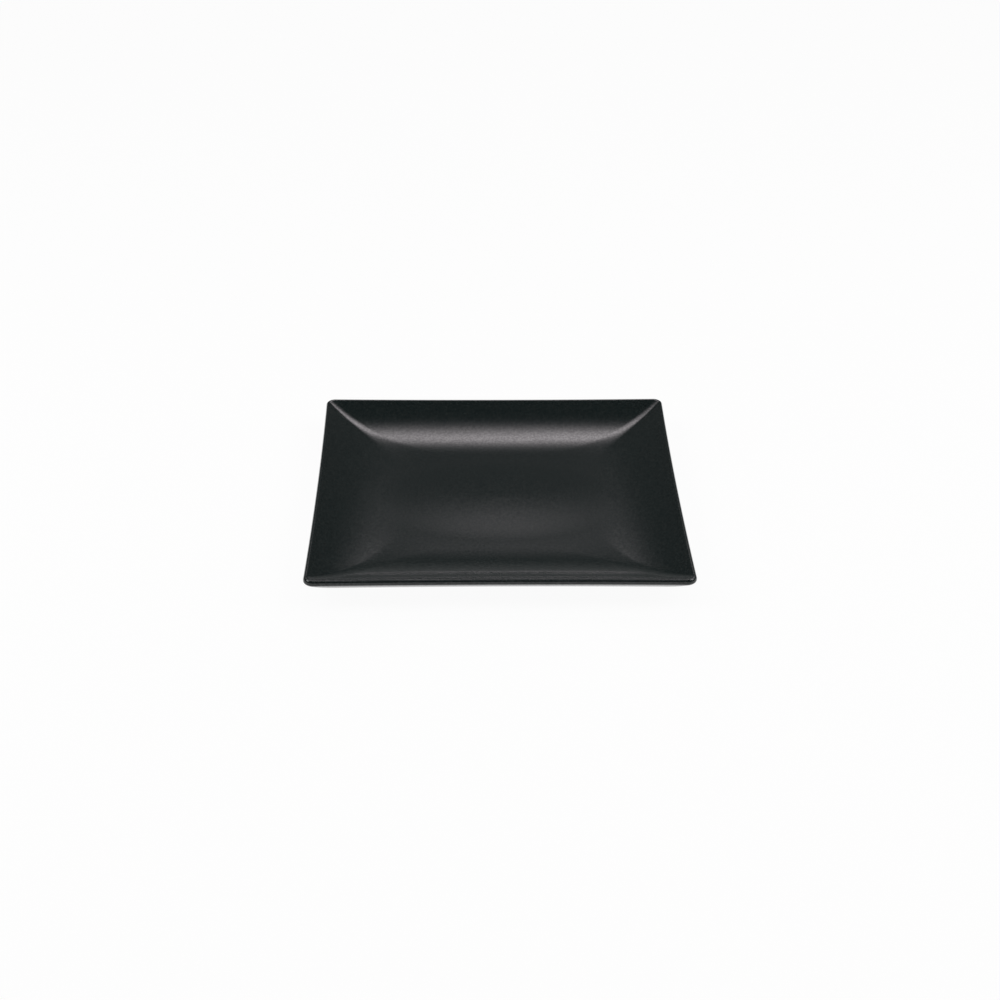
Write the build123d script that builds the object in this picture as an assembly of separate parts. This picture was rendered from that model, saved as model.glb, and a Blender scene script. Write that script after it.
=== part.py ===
from build123d import *
import math
import os

# Square dinner plate in glazed stoneware, in millimetres.
# Origin at the middle of the tread that it stands on, +Z up, sides along X and Y.

# Outline and rim
PLATE_SIDE = 260.0          # across the rim, from side to side at the corners
SIDE_BOW = 1.3              # how far each side of the plate is drawn in at its middle
RIM_WIDTH = 2.4             # across the top of the rim, before it is rounded
RIM_HEIGHT = 3.4            # upright outer edge of the rim, before it is rounded
RIM_OUTER_ROUND = 1.4       # rounding of the rim's outer top edge
RIM_INNER_ROUND = 2.4       # rounding from the rim's top into the wall
RIM_LOWER_ROUND = 1.4       # rounding under the rim
RIM_CORNER_RADIUS = 7.0     # outside corner of the rim, seen from above

# Well and walls
WELL_SIDE = 131.0           # between the feet of opposite walls
WELL_BOW = 2.7              # how far each side of the well is drawn in at its middle
WELL_DEPTH = 14.5           # from the rim's top to the foot of the wall
WALL_POWER = 2.75           # power of the distance from its foot with which the wall climbs
CROWN_RISE = 0.45           # low dome in the middle of the well
CROWN_SPREAD = 100.0        # diameter of that dome
CREASE_RADIUS = 6.0         # inside corner at the rim, seen from above
WELL_CORNER_RADIUS = 36.0   # inside corner at the foot of the wall, seen from above
CREASE_POWER = 3.5          # power with which the corner closes on its way up the wall
BOW_POWER = 2.0             # power with which the bow goes over from well to rim
FLOOR_THICKNESS = 5.0       # from the foot of the wall down to the underside

# Foot ring
FOOT_SIDE = 158.0           # across the tread, outside
FOOT_WIDTH = 5.0            # width of the tread
FOOT_HEIGHT = 2.6           # from the tread up to the underside
FOOT_FLARE = 1.2            # how far each flank spreads where it meets the underside
FOOT_LEDGE = 11.8           # flat of the underside outside the foot, before the wall climbs
FOOT_CORNER_RADIUS = 24.0   # outside corner of the foot ring
TREAD_ROUND = 0.8           # rounding of the tread's edges

# Glaze
GLAZE_THICKNESS = 0.4
BARE_HEIGHT = 1.1           # height of the foot that is wiped clean of glaze

# Sections in the lofts
WALL_SECTIONS = 6
LIP_SECTIONS = 4
FOOT_SECTIONS = 4
LIP_END = math.radians(6)   # slope at which the lip runs out into the rim's flat top
LIP_TRIALS = 12             # trials for the slope at which the wall runs into the lip
LEVEL_TOLERANCE = 0.01      # edges this close to a height lie at it

UNDERSIDE = FOOT_HEIGHT
WELL_LEVEL = UNDERSIDE + FLOOR_THICKNESS
RIM_LEVEL = WELL_LEVEL + WELL_DEPTH
RIM_HALF = PLATE_SIDE / 2
RIM_INNER_HALF = RIM_HALF - RIM_WIDTH
WELL_HALF = WELL_SIDE / 2
FOOT_HALF = FOOT_SIDE / 2
UNDER_HALF = FOOT_HALF + FOOT_FLARE + FOOT_LEDGE


def bowed_square(half, corner, bow, level):
    """Square with its sides drawn in and its corners rounded, lying at one level."""
    side = ThreePointArc((-half, half), (0, half - bow), (half, half))
    outline = make_face([side.rotate(Axis.Z, 90 * turn) for turn in range(4)])
    return Pos(0, 0, level) * fillet(outline.vertices(), corner)


def between(first, last, share):
    """Value that lies the given share of the way from the first to the last."""
    return first + (last - first) * share


def arc_radius(run, rise):
    """Radius of the arc that leaves the horizontal at its foot and climbs by rise over run."""
    return (run**2 + rise**2) / (2 * rise)


def crown(skin):
    """The low dome in the well: a slice of a very large ball, rooted in the floor of the plate."""
    ball_radius = arc_radius(CROWN_SPREAD / 2, CROWN_RISE)
    root = FLOOR_THICKNESS / 4
    edge = math.sqrt(2 * (ball_radius - skin) * (CROWN_RISE + root) - (CROWN_RISE + root) ** 2)
    top = WELL_LEVEL - skin + CROWN_RISE
    dome = RadiusArc((0, top), (edge, top - CROWN_RISE - root), ball_radius - skin)
    sides = Polyline((edge, top - CROWN_RISE - root), (0, top - CROWN_RISE - root), (0, top))
    return revolve(Plane.XZ * make_face([dome, sides]), Axis.Z)


def wall_top(steep):
    """Distance from the wall's foot at which its climb runs into the lip, and its slope there."""
    reach = RIM_INNER_HALF - WELL_HALF
    for _ in range(LIP_TRIALS):
        slope = math.atan(WALL_POWER * steep * reach ** (WALL_POWER - 1))
        climb = WELL_DEPTH - RIM_INNER_ROUND * (math.cos(LIP_END) - math.cos(slope))
        reach = (climb / steep) ** (1 / WALL_POWER)
    return reach, slope


def dish(skin):
    """The hollow of the plate from the crown up to the rim's top, skin below the glazed surface.

    The wall climbs as a power of the distance from its foot, until the lip's arc takes over. On the
    way its corner closes, fast at first, from the well's soft corner to the crisp crease at the rim.
    """
    steep = WELL_DEPTH / (RIM_INNER_HALF - WELL_HALF) ** WALL_POWER
    reach, slope = wall_top(steep)
    crease = CREASE_RADIUS + WELL_HALF + reach + skin * math.sin(slope) - RIM_INNER_HALF
    walls = []
    for step in range(WALL_SECTIONS):
        way = step / (WALL_SECTIONS - 1)
        tilt = math.atan(WALL_POWER * steep * (reach * way) ** (WALL_POWER - 1))
        half = WELL_HALF + reach * way + skin * math.sin(tilt)
        corner = between(crease, WELL_CORNER_RADIUS, (1 - way) ** CREASE_POWER)
        bow = between(WELL_BOW, SIDE_BOW, way**BOW_POWER)
        level = WELL_LEVEL + steep * (reach * way) ** WALL_POWER - skin * math.cos(tilt)
        walls.append(bowed_square(half, corner, bow, level))

    lips = []
    lip_radius = RIM_INNER_ROUND - skin
    lip_half = WELL_HALF + reach + RIM_INNER_ROUND * math.sin(slope)
    lip_level = RIM_LEVEL - RIM_INNER_ROUND * math.cos(LIP_END)
    for step in range(LIP_SECTIONS):
        angle = between(slope, LIP_END, step / (LIP_SECTIONS - 1))
        half = lip_half - lip_radius * math.sin(angle)
        corner = CREASE_RADIUS + half - RIM_INNER_HALF
        lips.append(bowed_square(half, corner, SIDE_BOW, lip_level + lip_radius * math.cos(angle)))
    return loft(walls) + loft(lips) - crown(skin)


def outside(skin):
    """The plate's outside without its foot: the wall from below, and the rim's rounded edge."""
    half = RIM_HALF - skin
    rim_corner = RIM_CORNER_RADIUS - skin
    under_corner = FOOT_CORNER_RADIUS + UNDER_HALF - FOOT_HALF
    radius = arc_radius(RIM_HALF - UNDER_HALF, RIM_LEVEL - RIM_HEIGHT - UNDERSIDE)
    centre = UNDERSIDE + radius
    sweep = math.asin((half - UNDER_HALF) / (radius - skin))
    walls = []
    for step in range(WALL_SECTIONS):
        angle = sweep * step / (WALL_SECTIONS - 1)
        corner = between(under_corner, rim_corner, math.sin(angle) / math.sin(sweep))
        wall_half = UNDER_HALF + (radius - skin) * math.sin(angle)
        walls.append(bowed_square(wall_half, corner, SIDE_BOW, centre - (radius - skin) * math.cos(angle)))

    edge_level = centre - (radius - skin) * math.cos(sweep)
    edge = extrude(bowed_square(half, rim_corner, SIDE_BOW, edge_level), RIM_LEVEL - skin - edge_level)
    solid = loft(walls) + edge
    lower = solid.edges().filter_by_position(
        Axis.Z, edge_level - LEVEL_TOLERANCE, edge_level + LEVEL_TOLERANCE
    )
    solid = fillet(lower, RIM_LOWER_ROUND - skin)
    return fillet(solid.edges().group_by(Axis.Z)[-1], RIM_OUTER_ROUND - skin)


def foot_ring(skin):
    """Foot ring whose flanks flare out towards the underside, skin inside the glazed surface."""
    blocks = []
    for tread_half, outward in ((FOOT_HALF, 1), (FOOT_HALF - FOOT_WIDTH, -1)):
        sections = []
        for step in range(FOOT_SECTIONS):
            way = step / (FOOT_SECTIONS - 1)
            half = tread_half + outward * (FOOT_FLARE * way**2 - skin)
            corner = FOOT_CORNER_RADIUS + half - FOOT_HALF
            sections.append(bowed_square(half, corner, SIDE_BOW, (UNDERSIDE + skin) * way))
        blocks.append(loft(sections))
    return blocks[0] - blocks[1]


def plate_form(skin):
    """The whole plate with its foot, every glazed surface moved skin inwards."""
    return outside(skin) - dish(skin) + foot_ring(skin)


def stoneware_body():
    """Fired clay: the plate under its glaze, standing on a foot ring with a rounded tread."""
    clay = plate_form(GLAZE_THICKNESS)
    tread = clay.faces().sort_by(Axis.Z)[0]
    return fillet(tread.edges(), TREAD_ROUND)


def glazes(body):
    """The glaze between the plate's surface and its clay, cut off where the foot is wiped clean.

    The bare foot parts it into the coat over the plate and the patch inside the foot ring.
    """
    bare = Box(PLATE_SIDE, PLATE_SIDE, BARE_HEIGHT, align=(Align.CENTER, Align.CENTER, Align.MIN))
    skins = plate_form(0) - body - bare
    return skins.solids().sort_by(SortBy.VOLUME)


body = stoneware_body()
patch, coat = glazes(body)

os.makedirs("parts", exist_ok=True)
export_step(body, "parts/stoneware_body.step")
export_step(coat, "parts/glaze_coat.step")
export_step(patch, "parts/base_glaze.step")
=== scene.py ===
import math

import bpy
import numpy as np
from mathutils import Matrix, Vector


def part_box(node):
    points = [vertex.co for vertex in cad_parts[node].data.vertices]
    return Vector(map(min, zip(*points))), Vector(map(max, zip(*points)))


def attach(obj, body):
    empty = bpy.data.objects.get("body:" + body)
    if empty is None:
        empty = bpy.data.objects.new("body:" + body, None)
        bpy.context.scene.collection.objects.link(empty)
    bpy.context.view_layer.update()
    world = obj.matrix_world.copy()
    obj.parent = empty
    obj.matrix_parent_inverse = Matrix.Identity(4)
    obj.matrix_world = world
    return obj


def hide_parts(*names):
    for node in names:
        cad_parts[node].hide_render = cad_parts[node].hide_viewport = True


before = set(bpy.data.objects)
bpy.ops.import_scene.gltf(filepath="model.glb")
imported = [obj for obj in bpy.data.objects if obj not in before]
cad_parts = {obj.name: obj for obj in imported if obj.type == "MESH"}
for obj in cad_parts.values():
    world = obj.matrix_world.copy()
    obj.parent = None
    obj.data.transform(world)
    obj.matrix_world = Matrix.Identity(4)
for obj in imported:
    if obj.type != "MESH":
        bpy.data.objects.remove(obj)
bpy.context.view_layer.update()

# Outline and rim, in millimetres
MM = 0.001                  # a millimetre in the metres of the frame
RIM_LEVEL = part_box("glaze_coat")[1][2] / MM
RIM_HALF = 129.99           # half a side at the corners, a hair less than in the solids
SIDE_BOW = 1.3              # how far each side of the plate is drawn in at its middle
RIM_WIDTH = 2.4             # across the top of the rim, before it is rounded
RIM_HEIGHT = 3.4            # upright outer edge of the rim, before it is rounded
RIM_OUTER_ROUND = 1.6       # width of the quarter oval that rounds the rim's outer top edge
RIM_OUTER_DROP = 2.5        # height of that quarter oval
RIM_INNER_ROUND = 2.4       # rounding from the rim's top into the wall
RIM_LOWER_ROUND = 1.4       # rounding under the rim
RIM_CORNER_RADIUS = 7.0     # outside corner of the rim, seen from above

# Well and walls, in millimetres
WELL_HALF = 65.5            # from the middle of the plate to the foot of a wall, at the corners
WELL_BOW = 2.7              # how far each side of the well is drawn in at its middle
WELL_DEPTH = 14.5           # from the rim's top to the foot of the wall
WALL_POWER = 2.75           # power of the distance from its foot with which the wall climbs
CREASE_RADIUS = 6.0         # inside corner at the rim, seen from above
WELL_CORNER_RADIUS = 36.0   # inside corner at the foot of the wall, seen from above
CREASE_POWER = 3.5          # power with which the corner closes on its way up the wall
BOW_POWER = 2.0             # power with which the bow goes over from well to rim
FLOOR_THICKNESS = 5.0       # from the foot of the wall down to the underside

# Crown in the middle of the well, in millimetres: a long bell with a faint ridge on it
CROWN_RISE = 0.79
CROWN_RADIUS = 55.7         # from the middle to the front and to the back
CROWN_STRETCH = 1.68        # how many times as far it goes to the sides
RIDGE_RISE = 0.07           # part of the crown's rise that is the ridge
RIDGE_RADIUS = 12.0         # distance to the front and to the back over which the ridge fades
RIDGE_STRETCH = 3.5         # how many times as far it goes to the sides
RIDGE_PLACE = 3.0           # how far the ridge lies behind the middle

# Trough along the foot of the front wall, in millimetres
TROUGH_DEPTH = 0.3
TROUGH_HALF = 88.0          # from the middle of the plate to the trough
TROUGH_WIDTH = 12.0         # distance across over which it fades
TROUGH_REACH = 91.0         # how far it goes to each side
TROUGH_BOW = 9.6            # how far it bends towards the rim at that reach
TROUGH_END_POWER = 12       # how sharply it ends there

# Foot ring and glaze, in millimetres
FOOT_HALF = 79.0            # half of the tread, outside
FOOT_WIDTH = 5.0            # width of the tread
FOOT_FLARE = 1.2            # how far each flank spreads where it meets the underside
FOOT_LEDGE = 11.8           # flat of the underside outside the foot, before the wall climbs
FOOT_CORNER_RADIUS = 24.0   # outside corner of the foot ring
GLAZE_THICKNESS = 0.4
BARE_HEIGHT = 1.1           # height of the foot that is wiped clean of glaze

# Places that follow from these sizes
WELL_LEVEL = RIM_LEVEL - WELL_DEPTH
UNDERSIDE = WELL_LEVEL - FLOOR_THICKNESS
RIM_INNER_HALF = RIM_HALF - RIM_WIDTH
UNDER_HALF = FOOT_HALF + FOOT_FLARE + FOOT_LEDGE
UNDER_CORNER_RADIUS = FOOT_CORNER_RADIUS + UNDER_HALF - FOOT_HALF

# Columns round the plate, and rows of each surface
CORNER_STEPS = 24           # over each rounded corner
SIDE_STEPS = 32             # along each side
MIDDLE_HALF = 1.0           # half a side of the innermost square, in millimetres
WELL_ROWS = 48
WALL_ROWS = 66
LIP_ROWS = 14
EDGE_ROWS = 18              # over the rim's outer edge
TUCK_ROWS = 12              # round under the rim
OUTSIDE_ROWS = 30           # from there down to the underside
FLANK_ROWS = 10             # down a flank of the foot ring
PATCH_ROWS = 40             # over the flat of the patch inside the foot ring
LIP_TRIALS = 12             # trials for the slope at which the wall runs into the lip

# Colours of the finishes, linear
GLAZE_DARK = (0.0052, 0.0099, 0.0101, 1)
GLAZE_LIGHT = (0.0068, 0.0121, 0.0121, 1)
GLAZE_GRAIN = (0.0137, 0.0191, 0.0185, 1)
GLAZE_SPECK = (0.03, 0.03, 0.029, 1)
CLAY_DARK = (0.31, 0.265, 0.215, 1)
CLAY_LIGHT = (0.40, 0.35, 0.30, 1)
CLAY_GROG = (0.46, 0.41, 0.35, 1)
CLAY_IRON = (0.07, 0.05, 0.04, 1)
PAPER_DARK = (0.87, 0.87, 0.87, 1)
PAPER_LIGHT = (0.92, 0.92, 0.92, 1)
WHITE = (1, 1, 1, 1)
GLOW_TINT = (1, 0.93, 0.96, 1)
STUDIO_DIM = (0.075, 0.075, 0.075, 1)
STUDIO_BEHIND = (0.175, 0.175, 0.175, 1)
STUDIO_WHITE = (0.95, 0.95, 0.95, 1)

# Strengths in the finishes
GLAZE_ROUGHNESS = 0.08      # where cloud and grain are at nought
CLOUD_ROUGHNESS = 0.02      # added where the clouding is full
GRAIN_ROUGHNESS = 0.03      # added where the grain is full
GLAZE_SPECK_SHARE = 0.4
GLAZE_BUMP = 0.08
GLAZE_IOR = 1.43
GLOSS_WEIGHT = 0.36         # second skin of gloss on the tops of the grain
GLOSS_ROUGHNESS = 0.09
GLOSS_IOR = 1.5
CLAY_ROUGHNESS = 0.82       # where the grain is at nought
CLAY_GRAIN_ROUGHNESS = 0.1  # added where the grain is full
CLAY_GROG_SHARE = 0.5
CLAY_IRON_SHARE = 0.8
CLAY_BUMP = 0.35
CLAY_IOR = 1.45
BUMP_HEIGHT = 0.0003        # metres from the lowest to the highest of a full bump
SWEEP_WHITE_SHARE = 0.95    # the rest of what the eye sees of the floor is lit paper

# Floor and soft box, in metres
SWEEP_SIDE = 40.0
BOX_WIDTH = 20.0
BOX_HEIGHT = 7.0
BOX_DISTANCE = 6.0          # from the plate
BOX_ELEVATION = 47.0        # degrees above the table, straight behind the plate

# Glow of the soft box, in metres on its sheet
GLOW_RADIANCE = 3.94
GLOW_LINE = -0.325          # height of its brightest line
GLOW_LEAN = 0.05            # rise of that line for each metre along the sheet
GLOW_BOW = 0.18             # rise of that line far out at its ends
GLOW_MIDDLE = -0.60         # brightest place along that line
GLOW_BELOW = 0.73           # distance below the line over which it fades
GLOW_BELOW_POWER = 1.92
GLOW_ABOVE = 1.34           # distance above the line over which it fades
GLOW_ABOVE_POWER = 2.03
GLOW_ASIDE = 2.5            # distance along the line over which it fades

# Surroundings: how far towards straight behind their lighter part starts, from 0 to 1
BEHIND_START = 0.857

# Camera, fitted to the four corners of the rim
RIM_FROM_EYE = Vector((-1.96, -12.84, 1322.70))  # rim's middle, mm right, down and ahead of the eye
PITCH = math.radians(30.573)
YAW = math.radians(1.288)
ROLL = math.radians(0.496)
LENS = 66.52                # millimetres, as the sensor's width is
SENSOR_WIDTH = 36.0
NEAREST = 0.01              # metres from the eye that the camera sees, and the farthest
FARTHEST = 100.0

# Sockets of the Mix node for colours, by number because its other kinds share their names
MIX_SHARE = 0
MIX_FIRST = 6
MIX_SECOND = 7
MIX_RESULT = 2


def closed_mesh(name, points, start, end):
    """Mesh over a grid of points, closed round its columns and drawn to a point at each end.

    Row r and column c give one corner of the quad between rows r, r+1 and columns c, c+1. The
    points start and end close the first and the last row with a fan of triangles.
    """
    rows, columns, _ = points.shape
    index = np.arange(rows * columns).reshape(rows, columns)
    beside = np.roll(index, -1, axis=1)
    quads = np.stack([index[:-1], index[1:], beside[1:], beside[:-1]], axis=-1).reshape(-1, 4)
    first = rows * columns
    start_fan = np.stack([np.full(columns, first), index[0], beside[0]], axis=-1)
    end_fan = np.stack([np.full(columns, first + 1), beside[-1], index[-1]], axis=-1)
    vertices = np.concatenate([points.reshape(-1, 3), [start, end]]) * MM
    mesh = bpy.data.meshes.new(name)
    mesh.from_pydata(vertices.tolist(), [], quads.tolist() + start_fan.tolist() + end_fan.tolist())
    mesh.shade_smooth()
    piece = bpy.data.objects.new(name, mesh)
    bpy.context.scene.collection.objects.link(piece)
    return piece


def bowed_squares(profile):
    """Surface S(u, v): a rounded square with sides drawn in, whose size and height follow v.

    Each row (half, corner, bow, level) of the profile is one square. Its corner is a quarter circle
    of radius corner about (half - corner, half - corner), and its side is straight. The square is
    then pinched by x * (1 - bow / half * (1 - (y / half)^2)), and the same for y, so that the middle
    of each side moves in by the bow and the corners stay.
    """
    half, corner, bow, level = (column[:, None] for column in profile.T)
    turn = np.linspace(0, math.pi / 2, CORNER_STEPS)
    run = np.linspace(1, -1, SIDE_STEPS + 2)[1:-1]
    straight = half - corner
    x = np.concatenate([straight + corner * np.cos(turn), straight * run], axis=1)
    y = np.concatenate([straight + corner * np.sin(turn), half + 0 * run], axis=1)
    x, y = np.concatenate([x, -y, -x, y], axis=1), np.concatenate([y, x, -y, -x], axis=1)
    pinched_x = x * (1 - bow / half * (1 - (y / half) ** 2))
    pinched_y = y * (1 - bow / half * (1 - (x / half) ** 2))
    return np.stack([pinched_x, pinched_y, level + 0 * x], axis=-1)


def profile_rows(half, corner, bow, level):
    """Profile rows from numbers or arrays of half side, corner radius, bow and level."""
    columns = np.broadcast_arrays(*np.atleast_1d(half, corner, bow, level))
    return np.stack(columns, axis=-1).astype(float)


def arc_radius(run, rise):
    """Radius of the arc that leaves the horizontal at its foot and climbs by rise over run."""
    return (run**2 + rise**2) / (2 * rise)


def lift(points):
    """Height of the dish over its plain shape: the crown in the well, less the trough in front.

    The crown's bell is rise * fade^2 with fade = 1 - (r / radius)^2, and the ridge on it is
    rise * fade * exp(-r / radius), with r counted shorter to the sides. The trough is a Gaussian
    across the foot of the front wall, which bends to the rim at its ends, so that this wall springs
    a little later than the others.
    """
    x, y = points[..., 0], points[..., 1]
    fade = np.clip(1 - (x / CROWN_STRETCH / CROWN_RADIUS) ** 2 - (y / CROWN_RADIUS) ** 2, 0, 1)
    bell = (CROWN_RISE - RIDGE_RISE) * fade**2
    ridge_distance = np.hypot(x / RIDGE_STRETCH, y - RIDGE_PLACE)
    ridge = RIDGE_RISE * fade * np.exp(-ridge_distance / RIDGE_RADIUS)
    along = x / TROUGH_REACH
    across = (y + TROUGH_HALF + TROUGH_BOW * along**2) / TROUGH_WIDTH
    trough = TROUGH_DEPTH * np.exp(-(across**2) - along**TROUGH_END_POWER)
    return bell + ridge - trough


def well_and_wall(skin):
    """Rows from the middle of the well to the top of the lip, skin below the glazed surface.

    The wall stands steep * out^power above its foot, out being the distance from the foot, until the
    lip's arc takes over where the two have the same slope. Rows lie skin inside, square to the curve.
    On the way up the corner closes by (1 - way)^power and the bow goes over by way^power.
    """
    width = RIM_INNER_HALF - WELL_HALF
    steep = WELL_DEPTH / width**WALL_POWER
    top = width
    for _ in range(LIP_TRIALS):
        slope = math.atan(WALL_POWER * steep * top ** (WALL_POWER - 1))
        climb = WELL_DEPTH - RIM_INNER_ROUND * (1 - math.cos(slope))
        top = (climb / steep) ** (1 / WALL_POWER)

    well = np.linspace(MIDDLE_HALF, WELL_HALF, WELL_ROWS)[:-1]
    share = well / WELL_HALF
    floor = profile_rows(well, WELL_CORNER_RADIUS * share, WELL_BOW * share, WELL_LEVEL - skin)

    out = np.linspace(0, top, WALL_ROWS)
    way = out / top
    tilt = np.arctan(WALL_POWER * steep * out ** (WALL_POWER - 1))
    top_corner = CREASE_RADIUS + WELL_HALF + top + skin * math.sin(slope) - RIM_INNER_HALF
    wall = profile_rows(
        WELL_HALF + out + skin * np.sin(tilt),
        top_corner + (WELL_CORNER_RADIUS - top_corner) * (1 - way) ** CREASE_POWER,
        WELL_BOW + (SIDE_BOW - WELL_BOW) * way**BOW_POWER,
        WELL_LEVEL + steep * out**WALL_POWER - skin * np.cos(tilt),
    )

    over = np.linspace(slope, 0, LIP_ROWS)[1:]
    lip_radius = RIM_INNER_ROUND - skin
    lip_half = WELL_HALF + top + RIM_INNER_ROUND * math.sin(slope) - lip_radius * np.sin(over)
    lip_level = RIM_LEVEL - RIM_INNER_ROUND + lip_radius * np.cos(over)
    lip = profile_rows(lip_half, CREASE_RADIUS + lip_half - RIM_INNER_HALF, SIDE_BOW, lip_level)
    return np.concatenate([floor, wall, lip])


def rim_and_outside(skin):
    """Rows from the rim's top over its edge and down the outside, skin inside the glazed surface.

    The edge is a quarter oval. Under it a small arc tucks in and runs into the large arc of the
    wall's outside, which ends level at the underside. The corner opens from the rim's to the
    underside's with the sine of the large arc's angle.
    """
    over = np.linspace(0, math.pi / 2, EDGE_ROWS)
    edge_half = RIM_HALF - RIM_OUTER_ROUND + (RIM_OUTER_ROUND - skin) * np.sin(over)
    edge_level = RIM_LEVEL - RIM_OUTER_DROP + (RIM_OUTER_DROP - skin) * np.cos(over)
    edge = profile_rows(edge_half, RIM_CORNER_RADIUS + edge_half - RIM_HALF, SIDE_BOW, edge_level)

    radius = arc_radius(RIM_HALF - UNDER_HALF, RIM_LEVEL - RIM_HEIGHT - UNDERSIDE)
    centre = UNDERSIDE + radius
    tuck_centre = RIM_HALF - RIM_LOWER_ROUND
    reach = radius - RIM_LOWER_ROUND
    slope = math.asin((tuck_centre - UNDER_HALF) / reach)
    turn = np.linspace(math.pi / 2, slope, TUCK_ROWS)
    tuck_half = tuck_centre + (RIM_LOWER_ROUND - skin) * np.sin(turn)
    tuck_level = centre - reach * math.cos(slope) - (RIM_LOWER_ROUND - skin) * np.cos(turn)
    tuck = profile_rows(tuck_half, RIM_CORNER_RADIUS + tuck_half - RIM_HALF, SIDE_BOW, tuck_level)

    angle = np.linspace(slope, 0, OUTSIDE_ROWS)[1:]
    fall_half = UNDER_HALF + (radius - skin) * np.sin(angle)
    top_corner = RIM_CORNER_RADIUS + fall_half[0] - RIM_HALF
    out_share = np.sin(angle) / math.sin(angle[0])
    fall_corner = UNDER_CORNER_RADIUS + (top_corner - UNDER_CORNER_RADIUS) * out_share
    fall_level = centre - (radius - skin) * np.cos(angle)
    fall = profile_rows(fall_half, fall_corner, SIDE_BOW, fall_level)
    return np.concatenate([edge, tuck, fall])


def foot_flank(skin, tread_half, outward):
    """Rows down one flank of the foot ring, from the underside to the line where the glaze ends.

    The flank spreads by flare * way^2, where way goes from 0 at the tread to 1 at the underside.
    """
    top = UNDERSIDE + skin
    way = np.linspace(1, BARE_HEIGHT / top, FLANK_ROWS)
    half = tread_half + outward * (FOOT_FLARE * way**2 - skin)
    return profile_rows(half, FOOT_CORNER_RADIUS + half - FOOT_HALF, SIDE_BOW, top * way)


def glaze_coat():
    """The coat over well, walls and rim, and under the rim to the foot, as a closed thin shell.

    Its outer side runs from the middle of the well to the foot, and its inner side runs back.
    """
    sides = []
    for skin in (0, GLAZE_THICKNESS):
        dish = bowed_squares(well_and_wall(skin))
        dish[..., 2] += lift(dish)
        outside = np.concatenate([rim_and_outside(skin), foot_flank(skin, FOOT_HALF, 1)])
        sides.append(np.concatenate([dish, bowed_squares(outside)]))
    peak = WELL_LEVEL + lift(np.zeros(2))
    above = (0, 0, peak)
    below = (0, 0, peak - GLAZE_THICKNESS)
    return closed_mesh("glazed_surface", np.concatenate([sides[0], sides[1][::-1]]), above, below)


def base_glaze():
    """The patch of glaze inside the foot ring, as a closed thin shell.

    Its hidden side runs from the middle to the foot, and its outer side runs back.
    """
    tread_half = FOOT_HALF - FOOT_WIDTH
    flat = np.linspace(MIDDLE_HALF, tread_half - FOOT_FLARE, PATCH_ROWS)[:-1]
    share = flat / tread_half
    corner = (FOOT_CORNER_RADIUS - FOOT_WIDTH) * share
    sides = []
    for skin in (GLAZE_THICKNESS, 0):
        middle = profile_rows(flat, corner, SIDE_BOW * share, UNDERSIDE + skin)
        flank = foot_flank(skin, tread_half, -1)
        sides.append(bowed_squares(np.concatenate([middle, flank])))
    above = (0, 0, UNDERSIDE + GLAZE_THICKNESS)
    below = (0, 0, UNDERSIDE)
    return closed_mesh("underside_glaze", np.concatenate([sides[0], sides[1][::-1]]), above, below)


class Value:
    """A shader socket that can be used in sums: each operator adds its Math node."""

    def __init__(self, finish, socket):
        self.finish = finish
        self.socket = socket

    def math(self, operation, *values):
        """Math node of the given operation on the values."""
        return self.finish.node("ShaderNodeMath", {"operation": operation}, dict(enumerate(values)))

    def at_least(self, least):
        """The larger of this value and a number."""
        return self.math("MAXIMUM", self, least)

    def at_most(self, most):
        """The smaller of this value and a number."""
        return self.math("MINIMUM", self, most)

    def __add__(self, other):
        return self.math("ADD", self, other)

    def __radd__(self, other):
        return self.math("ADD", other, self)

    def __sub__(self, other):
        return self.math("SUBTRACT", self, other)

    def __rsub__(self, other):
        return self.math("SUBTRACT", other, self)

    def __mul__(self, other):
        return self.math("MULTIPLY", self, other)

    def __rmul__(self, other):
        return self.math("MULTIPLY", other, self)

    def __truediv__(self, other):
        return self.math("DIVIDE", self, other)

    def __rtruediv__(self, other):
        return self.math("DIVIDE", other, self)

    def __pow__(self, other):
        return self.math("POWER", self, other)

    def __rpow__(self, other):
        return self.math("POWER", other, self)


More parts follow.
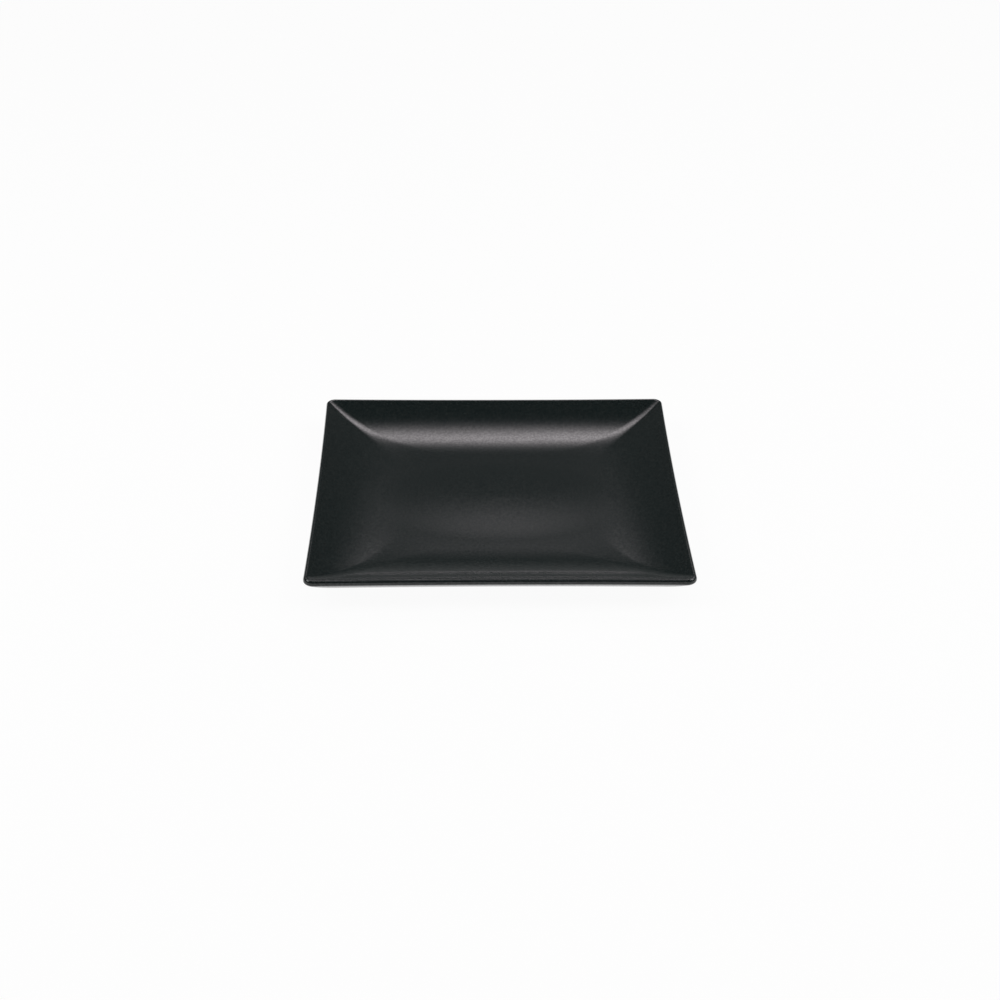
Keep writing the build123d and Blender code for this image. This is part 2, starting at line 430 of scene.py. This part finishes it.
class Finish:
    """A material or a world that is put together node by node."""

    def __init__(self, owner):
        self.owner = owner
        owner.use_nodes = True
        self.tree = owner.node_tree
        self.tree.nodes.clear()

    def node(self, kind, settings, sockets, output=0):
        """Add a node: its settings first, then a value or a link on each of the given sockets."""
        node = self.tree.nodes.new(kind)
        for name, value in settings.items():
            setattr(node, name, value)
        for place, value in sockets.items():
            if isinstance(value, Value):
                self.tree.links.new(value.socket, node.inputs[place])
            else:
                node.inputs[place].default_value = value
        return Value(self, node.outputs[output]) if node.outputs else None

    def noise(self, where, scale, detail=2.0, roughness=0.5):
        """Noise from 0 to 1 whose grain is 1 / scale metres across."""
        return self.node("ShaderNodeTexNoise", {}, {
            "Vector": where,
            "Scale": scale,
            "Detail": detail,
            "Roughness": roughness,
        })

    def step(self, value, low, high):
        """Smooth step from 0 at low to 1 at high."""
        return self.node("ShaderNodeMapRange", {"interpolation_type": "SMOOTHSTEP"}, {
            "Value": value,
            "From Min": low,
            "From Max": high,
        })

    def blend(self, share, first, second):
        """Colour the given share of the way between two colours."""
        sockets = {MIX_SHARE: share, MIX_FIRST: first, MIX_SECOND: second}
        return self.node("ShaderNodeMix", {"data_type": "RGBA"}, sockets, output=MIX_RESULT)

    def bump(self, height, strength):
        """Surface direction that follows a height from 0 to 1."""
        return self.node("ShaderNodeBump", {}, {
            "Strength": strength,
            "Distance": BUMP_HEIGHT,
            "Height": height,
        })

    def place(self):
        """Object coordinates, in metres from the object's origin."""
        return self.node("ShaderNodeTexCoord", {}, {}, output="Object")

    def part(self, vector, axis):
        """One of the parts X, Y and Z of a vector."""
        return self.node("ShaderNodeSeparateXYZ", {}, {"Vector": vector}, output=axis)

    def rays(self, kind):
        """1 for one kind of ray, such as those from the camera, and 0 for the rest."""
        return self.node("ShaderNodeLightPath", {}, {}, output=kind)

    def glow(self, colour, strength):
        """Even light from a surface."""
        return self.node("ShaderNodeEmission", {}, {"Color": colour, "Strength": strength})

    def mixed(self, share, first, second):
        """Shader the given share of the way between two shaders."""
        return self.node("ShaderNodeMixShader", {}, {0: share, 1: first, 2: second})

    def surface(self, shader, output="ShaderNodeOutputMaterial"):
        """Put the shader on the output, and give the finished material or world."""
        self.node(output, {}, {"Surface": shader})
        return self.owner


def glaze_finish():
    """Satin black glaze: fine grain in its colour and gloss, faint specks and slow clouding."""
    finish = Finish(bpy.data.materials.new("satin black glaze"))
    where = finish.place()
    grain = finish.noise(where, scale=650, detail=2.0, roughness=0.6)
    cloud = finish.noise(where, scale=28, detail=3.0)
    speckle = finish.step(finish.noise(where, scale=1500, detail=1.0), low=0.66, high=0.76)
    colour = finish.blend(cloud, GLAZE_DARK, GLAZE_LIGHT)
    colour = finish.blend(finish.step(grain, low=0.35, high=0.70), colour, GLAZE_GRAIN)
    colour = finish.blend(speckle * GLAZE_SPECK_SHARE, colour, GLAZE_SPECK)
    return finish.surface(finish.node("ShaderNodeBsdfPrincipled", {}, {
        "Base Color": colour,
        "Roughness": GLAZE_ROUGHNESS + CLOUD_ROUGHNESS * cloud + GRAIN_ROUGHNESS * grain,
        "IOR": GLAZE_IOR,
        "Normal": finish.bump(grain, GLAZE_BUMP),
        "Coat Weight": GLOSS_WEIGHT * finish.step(grain, low=0.35, high=0.65),
        "Coat Roughness": GLOSS_ROUGHNESS,
        "Coat IOR": GLOSS_IOR,
    }))


def clay_finish():
    """Bare fired stoneware: warm buff grey, with fine grog and a few dark iron specks."""
    finish = Finish(bpy.data.materials.new("bare stoneware"))
    where = finish.place()
    grain = finish.noise(where, scale=1400, detail=4.0, roughness=0.65)
    cloud = finish.noise(where, scale=60, detail=3.0)
    specks = finish.step(finish.noise(where, scale=700, detail=2.0), low=0.64, high=0.70)
    colour = finish.blend(cloud, CLAY_DARK, CLAY_LIGHT)
    colour = finish.blend(grain * CLAY_GROG_SHARE, colour, CLAY_GROG)
    colour = finish.blend(specks * CLAY_IRON_SHARE, colour, CLAY_IRON)
    return finish.surface(finish.node("ShaderNodeBsdfPrincipled", {}, {
        "Base Color": colour,
        "Roughness": CLAY_ROUGHNESS + CLAY_GRAIN_ROUGHNESS * grain,
        "IOR": CLAY_IOR,
        "Normal": finish.bump(grain, CLAY_BUMP),
    }))


def floor_finish():
    """White paper sweep: it shows white to the eye and in reflections, and keeps a light shadow."""
    finish = Finish(bpy.data.materials.new("white sweep"))
    seen = finish.rays("Is Camera Ray") + finish.rays("Is Glossy Ray") + finish.rays("Is Transmission Ray")
    tooth = finish.noise(finish.place(), scale=300, detail=2.0)
    paper = finish.node("ShaderNodeBsdfPrincipled", {}, {
        "Base Color": finish.blend(tooth, PAPER_DARK, PAPER_LIGHT),
        "Roughness": 1.0,
        "Specular IOR Level": 0.0,
    })
    white = finish.glow(WHITE, 1.0)
    return finish.surface(finish.mixed(seen.at_most(1.0) * SWEEP_WHITE_SHARE, paper, white))


def panel_finish():
    """Glow of the soft box, which covers what lies behind it and fades from its brightest line.

    The glow's share is exp(-(under / below)^power - (over / above)^power - (across / aside)^2), where
    under and over are the distances below and above that line and across is the distance along it
    from its brightest place. The line leans, and it rises by bow * x^2 / (1 + x^2) to its ends.
    """
    finish = Finish(bpy.data.materials.new("soft box"))
    where = finish.place()
    x = finish.part(where, "X")
    across = x - GLOW_MIDDLE
    up = finish.part(where, "Y") - GLOW_LEAN * across - GLOW_LINE
    up = up - GLOW_BOW * x * x / (1 + x * x)
    under = (0 - up).at_least(0.0) / GLOW_BELOW
    over = up.at_least(0.0) / GLOW_ABOVE
    fade = under**GLOW_BELOW_POWER + over**GLOW_ABOVE_POWER + across * across / GLOW_ASIDE**2
    clear = finish.node("ShaderNodeBsdfTransparent", {}, {})
    return finish.surface(finish.mixed(math.e ** (0 - fade), clear, finish.glow(GLOW_TINT, GLOW_RADIANCE)))


def surroundings():
    """Dim studio round the plate, a little lighter straight behind it, and white to the eye.

    Reflections see the dim studio, as they do in the photograph.
    """
    finish = Finish(bpy.data.worlds.new("dim studio"))
    direction = finish.node("ShaderNodeTexCoord", {}, {}, output="Generated")
    behind = finish.step(finish.part(direction, "Y"), low=BEHIND_START, high=1.0)
    seen = finish.rays("Is Camera Ray") + finish.rays("Is Transmission Ray")
    colour = finish.blend(seen, finish.blend(behind, STUDIO_DIM, STUDIO_BEHIND), STUDIO_WHITE)
    back = finish.node("ShaderNodeBackground", {}, {"Color": colour})
    return finish.surface(back, "ShaderNodeOutputWorld")


def dress(piece, material):
    """Give a piece one material all over."""
    piece.data.materials.clear()
    piece.data.materials.append(material)


def towards(azimuth, elevation):
    """Direction from the plate, azimuth counted from straight behind it towards +X."""
    across, up = math.radians(azimuth), math.radians(elevation)
    return Vector((math.sin(across) * math.cos(up), math.cos(across) * math.cos(up), math.sin(up)))


def face_plate(thing, direction, distance):
    """Set a lamp or a sheet at a distance in the given direction, turned to the plate."""
    thing.location = direction * distance
    thing.rotation_euler = direction.to_track_quat("Z", "Y").to_euler()


def soft_lamp(name, azimuth, elevation, distance, size, radiance):
    """Square soft light that faces the plate, in metres. Its power is radiance * pi * area."""
    light = bpy.data.lights.new(name, "AREA")
    light.size = size
    light.energy = radiance * math.pi * size**2
    lamp = bpy.data.objects.new(name, light)
    face_plate(lamp, towards(azimuth, elevation), distance)
    bpy.context.scene.collection.objects.link(lamp)


def flat_sheet(name, width, height, material):
    """Flat stage sheet about the origin."""
    x, y = width / 2, height / 2
    mesh = bpy.data.meshes.new(name)
    mesh.from_pydata([(-x, -y, 0), (x, -y, 0), (x, y, 0), (-x, y, 0)], [], [(0, 1, 2, 3)])
    sheet = bpy.data.objects.new(name, mesh)
    bpy.context.scene.collection.objects.link(sheet)
    dress(sheet, material)
    return sheet


def studio():
    """White floor, one wide soft box behind and above, side and front lamps and dim surroundings."""
    scene = bpy.context.scene
    scene.view_settings.view_transform = "Standard"
    scene.world = surroundings()
    flat_sheet("white_sweep", SWEEP_SIDE, SWEEP_SIDE, floor_finish())
    box = flat_sheet("soft_box", BOX_WIDTH, BOX_HEIGHT, panel_finish())
    face_plate(box, towards(0, BOX_ELEVATION), BOX_DISTANCE)
    box.visible_camera = False
    soft_lamp("left lamp", azimuth=-100, elevation=45, distance=1.6, size=0.8, radiance=5.0)
    soft_lamp("right lamp", azimuth=100, elevation=45, distance=1.6, size=0.8, radiance=5.0)
    soft_lamp("front lamp", azimuth=180, elevation=62, distance=3.0, size=1.2, radiance=1.0)


def camera():
    """Camera at the fitted eye point: yaw about the upright, pitch down, then a slight roll."""
    turn = Matrix.Rotation(YAW, 3, "Z")
    sine, cosine = math.sin(PITCH), math.cos(PITCH)
    look = Matrix(((1, 0, 0), (0, -sine, -cosine), (0, cosine, -sine)))
    spin = Matrix.Rotation(ROLL, 3, "Z")
    axes = spin @ look @ turn
    right, down, ahead = axes
    eye_place = (Vector((0, 0, RIM_LEVEL)) - axes.transposed() @ RIM_FROM_EYE) * MM
    lens = bpy.data.cameras.new("camera")
    lens.lens = LENS
    lens.sensor_width = SENSOR_WIDTH
    lens.clip_start = NEAREST
    lens.clip_end = FARTHEST
    eye = bpy.data.objects.new("camera", lens)
    eye.matrix_world = Matrix.Translation(eye_place) @ Matrix((right, -down, -ahead)).transposed().to_4x4()
    bpy.context.scene.collection.objects.link(eye)
    bpy.context.scene.camera = eye


glaze = glaze_finish()
for piece, node in ((glaze_coat(), "glaze_coat"), (base_glaze(), "base_glaze")):
    dress(piece, glaze)
    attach(piece, "root")
    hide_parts(node)

dress(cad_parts["stoneware_body"], clay_finish())
studio()
camera()
